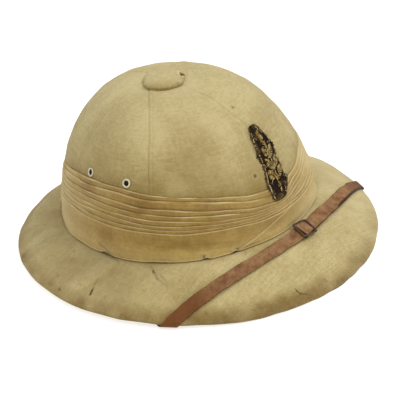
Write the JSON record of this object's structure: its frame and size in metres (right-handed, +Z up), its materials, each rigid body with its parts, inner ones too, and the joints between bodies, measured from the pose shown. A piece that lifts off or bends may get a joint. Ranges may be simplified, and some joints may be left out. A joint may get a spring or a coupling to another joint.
{
  "type": "pith helmet",
  "caption": "Cloth-covered pith helmet with a wide sloping brim, a folded cloth band, a vent cap, eyelets, a plain patch and a leather chin strap over the brim.",
  "frame": {"origin": "on the surface the helmet stands on, under the middle of the brim", "axes": "+Z up, -Y the front of the helmet, -X the wearer's right"},
  "size_m": [0.3158, 0.3299, 0.1521],
  "materials": {
    "khaki_cloth": "worn cotton drill",
    "pugaree_cloth": "worn folded cotton",
    "pith": "bare moulded pith",
    "leather": "worn, cracked",
    "dark_metal": "tarnished",
    "eyelet_metal": "dull",
    "felt": "worn dark felt",
    "thread": "tarnished metal thread"
  },
  "bodies": {
    "root": {"shell": "pith", "crown_panel_1": "khaki_cloth", "crown_panel_2": "khaki_cloth", "crown_panel_3": "khaki_cloth", "crown_panel_4": "khaki_cloth", "crown_panel_5": "khaki_cloth", "crown_panel_6": "khaki_cloth", "brim_cover": "khaki_cloth", "pugaree": "pugaree_cloth", "vent_cap": "khaki_cloth", "eyelet_right_front": "eyelet_metal", "eyelet_right_back": "eyelet_metal", "eyelet_left_front": "eyelet_metal", "eyelet_left_back": "eyelet_metal", "badge_patch": "felt", "badge_sprig": "thread", "strap_long": "leather", "strap_short": "leather", "strap_keeper": "leather", "strap_slide": "dark_metal", "strap_stud_right": "dark_metal", "strap_stud_left": "dark_metal"}
  },
  "joints": []
}
